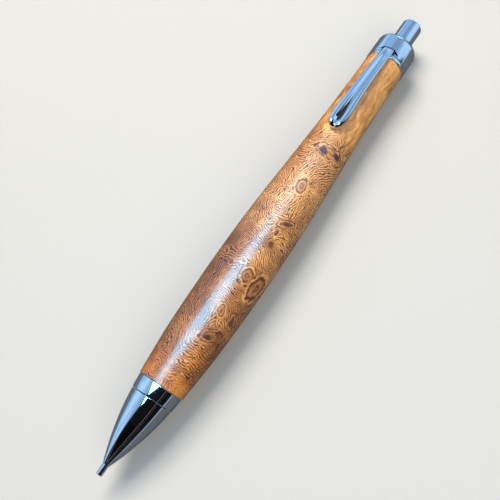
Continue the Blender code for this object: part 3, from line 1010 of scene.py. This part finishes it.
def clip_section(place, half_width, top, thickness):
    """The clip's cross-section as (across, height) points: two rounded rails and a groove between."""
    bottom = top - thickness
    groove = 0.7 * thickness * min(1.0, max(0.0, (GROOVE_START - place) / 5.0))
    groove *= min(1.0, max(0.2, (place - CLIP_TIP) / 2.6))
    edge = min(0.46, thickness * 0.55)
    crest = 0.6 * half_width
    side = half_width - crest
    steps = 7
    half = [
        (half_width * 0.88, bottom),
        (half_width * 0.97, bottom + edge * 0.1),
        (half_width, bottom + edge * 0.35),
    ]
    for k in range(steps):
        turn = math.pi / 2 * k / steps
        half.append((crest + side * math.cos(turn), top - edge + edge * math.sin(turn)))
    for k in range(steps):
        share = 1 - k / steps
        half.append((crest * share, top - groove * (0.5 + 0.5 * math.cos(math.pi * share))))
    mirrored = [(-across, height) for across, height in reversed(half)]
    return half + [(0.0, top - groove)] + mirrored


def slot_outline():
    """The long drop-shaped slot near the clip's tip, as (place, across) points."""
    start, end, half_width = CLIP_SLOT
    length = end - start
    widest = 0.3
    side = []
    for k in range(1, 9):
        share = 1 - math.cos(math.pi / 2 * k / 9)
        side.append((start + length * widest * share, half_width * math.sqrt(1 - (1 - share) ** 2)))
    for k in range(16):
        share = k / 16
        taper = math.cos(math.pi / 2 * share) ** 1.5
        side.append((start + length * (widest + (1 - widest) * share), half_width * taper))
    mirrored = [(place, -across) for place, across in reversed(side)]
    return [(start, 0.0)] + side + [(end, 0.0)] + mirrored


def make_clip():
    rows = smooth_through([(-row[0], *row[1:]) for row in CLIP_STATIONS], 8)
    end_place, end_width, end_top, end_thickness = rows[-1]
    rows.append((end_place + 0.1, end_width * 0.7, end_top - 0.08, end_thickness * 0.8))
    loops = []
    for place, half_width, top, thickness in rows:
        section = clip_section(-place, half_width, top, thickness)
        loops.append([at(-place, across, height) for across, height in section])
    piece = skinned("clip_polished", loops)
    cut(piece, upright_cutter("slot", slot_outline(), 6.0, 8.5))
    stands_for(piece, "clip", "clip", "chrome")


make_nose()
make_spring()
make_sleeve()
make_front_ring()
make_rear_ring()
make_button()
make_barrel()
make_cap()
make_clip()

for subpart in frame["record"]["subparts"]:
    node = frame["nodes"][subpart["node"]]
    node.data.materials.clear()
    node.data.materials.append(MATERIALS[subpart["material_slot"]])


# ---------------------------------------------------------------- camera, light and floor


# The camera: its place along the axis, across it and above it, what it faces, and what is up
CAMERA_PLACE = (20.8, -42.2, 142.3)
CAMERA_FORWARD = Vector((0.2582, 0.2822, -0.924))
CAMERA_UP = Vector((0.79, 0.488, 0.37))
LENS = 46.08

# The way to the sky's side of the room
WINDOW_SIDE = Vector((0.785, 0.619, 0.0))

# Bright strips in the dark half of the room: the height they are seen at, their width and their glow
ROOM_STREAKS = ((0.64, 0.022, 0.30), (0.50, 0.014, 0.20), (0.27, 0.010, 0.12))

DAYLIGHT = (1.0, 0.93, 0.82)
SKY_BLUE = (0.18, 0.62, 1.0)
COOL_WHITE = (0.9, 0.95, 1.0)
FLOOR_GREY = (0.42, 0.41, 0.395)
CARD_GREY = (0.055, 0.05, 0.046)


def look(obj, eye, forward, up):
    """Places an object at eye, facing forward, with its own up as near to up as can be."""
    forward = forward.normalized()
    up = (up - forward * up.dot(forward)).normalized()
    right = forward.cross(up)
    obj.matrix_world = Matrix((
        (right.x, up.x, -forward.x, eye.x),
        (right.y, up.y, -forward.y, eye.y),
        (right.z, up.z, -forward.z, eye.z),
        (0, 0, 0, 1),
    ))


def add_camera():
    data = bpy.data.cameras.new("camera")
    data.lens = LENS
    data.sensor_width = 36
    camera = bpy.data.objects.new("camera", data)
    bpy.context.scene.collection.objects.link(camera)
    look(camera, at(*CAMERA_PLACE), CAMERA_FORWARD, CAMERA_UP)
    bpy.context.scene.camera = camera


def add_area(name, direction, distance, size, power, colour, roll=Vector((1, 0, 0))):
    """A rectangular light in a direction from the part, that faces it, with its own up along roll."""
    data = bpy.data.lights.new(name, "AREA")
    data.shape = "RECTANGLE"
    data.size, data.size_y = size
    data.energy = power
    data.color = colour
    light = bpy.data.objects.new(name, data)
    bpy.context.scene.collection.objects.link(light)
    towards = Vector(direction).normalized()
    look(light, towards * distance, -towards, roll)
    return light


def receive_only(light, names, state):
    """Lets a light reach only the named pieces, or all but them."""
    pieces = bpy.data.collections.new(light.name + "_receivers")
    for name in names:
        pieces.objects.link(bpy.data.objects[name])
    for entry in pieces.collection_objects:
        entry.light_linking.link_state = state
    light.light_linking.receiver_collection = pieces


def add_plane(name, height, colour):
    """A plane that takes shadows near the part, and glows a little further out."""
    half = 1.5
    shape = bmesh.new()
    corners = [(-half, -half), (half, -half), (half, half), (-half, half)]
    shape.faces.new([shape.verts.new((x, y, height)) for x, y in corners])
    plane = finish_mesh(name, shape)
    nodes = Surface(name)
    nodes.set(
        Base_Color=rgba(colour),
        Roughness=0.7,
        Emission_Color=(1.0, 0.98, 0.95, 1.0),
        Emission_Strength=nodes.smooth(nodes.vector("LENGTH", nodes.coords), 0.2, 1.0, 0.0, 0.42),
    )
    plane.data.materials.append(nodes.material)
    return plane


def add_world():
    """Plain grey to the camera. In reflections, a blue sky on one side and a dark room on the other."""
    world = bpy.data.worlds.new("studio")
    bpy.context.scene.world = world
    world.use_nodes = True
    nodes = Nodes(world.node_tree)

    direction = nodes.add("ShaderNodeTexCoord").outputs["Generated"]
    parts = nodes.split(direction)
    side, height = parts["Y"], parts["Z"]
    window = nodes.smooth(nodes.vector("DOT_PRODUCT", direction, WINDOW_SIDE), -0.14, -0.04)
    cloudy = nodes.smooth(nodes.noise(direction, 2.2, 2.0), 0.35, 0.65)

    low_sky = nodes.mix(cloudy, (0.24, 0.45, 0.76), (0.46, 0.72, 1.0))
    sky = nodes.mix(nodes.smooth(height, 0.62, 0.93), low_sky, (0.22, 0.38, 0.62))
    eaves = nodes.product(nodes.smooth(nodes.off_by(side, -0.06), 0.32, 0.22), 0.5)
    sky = nodes.mix(eaves, sky, (0.16, 0.22, 0.31))

    room = nodes.mix(cloudy, (0.0005, 0.0015, 0.003), (0.008, 0.006, 0.007))
    for place, width, glow in ROOM_STREAKS:
        streak = nodes.smooth(nodes.off_by(height, place), width, width * 0.2)
        room = nodes.mix(nodes.product(streak, glow), room, (0.62, 0.50, 0.55))
    room = nodes.mix(nodes.smooth(height, 0.13, 0.02), room, (0.28, 0.40, 0.55))

    camera_ray = nodes.add("ShaderNodeLightPath").outputs["Is Camera Ray"]
    seen = nodes.mix(camera_ray, nodes.mix(window, room, sky), (0.6, 0.6, 0.6))
    background = nodes.tree.nodes["Background"]
    nodes.put(background.inputs["Color"], seen)
    nodes.put(background.inputs["Strength"], 1.0)


def add_lights():
    """Two soft lights for the surfaces, a softbox seen only in gloss, and a glint for the clip alone."""
    sill = WINDOW_SIDE.cross(Vector((0, 0, 1)))
    softbox = add_area("softbox", (0.035, 0.035, 1.0), 0.6, (0.33, 0.46), 7.4, SKY_BLUE, sill)
    key = add_area("key", (0.45, 0.45, 0.9), 0.9, (0.45, 0.45), 13.5, DAYLIGHT)
    fill = add_area("fill", (-0.5, -0.7, 0.9), 0.9, (0.9, 0.9), 7.5, DAYLIGHT)
    glint = add_area("glint", (-0.16, 0.28, 0.95), 0.6, (0.2, 0.2), 0.8, COOL_WHITE)
    for light in (softbox, glint):
        light.visible_diffuse = False
    for light in (key, fill):
        light.visible_glossy = False
    receive_only(softbox, ("clip_polished", "lead_sleeve_pipe"), "EXCLUDE")
    receive_only(glint, ("clip_polished",), "INCLUDE")


def add_floor():
    """The floor, and a dark card just over it that only reflections see."""
    add_plane("floor", 0.0, FLOOR_GREY)
    card = add_plane("dark_card", 0.0001, CARD_GREY)
    card.visible_camera = False
    card.visible_diffuse = False
    card.visible_shadow = False


add_camera()
add_floor()
add_world()
add_lights()
bpy.context.scene.view_settings.view_transform = "Standard"
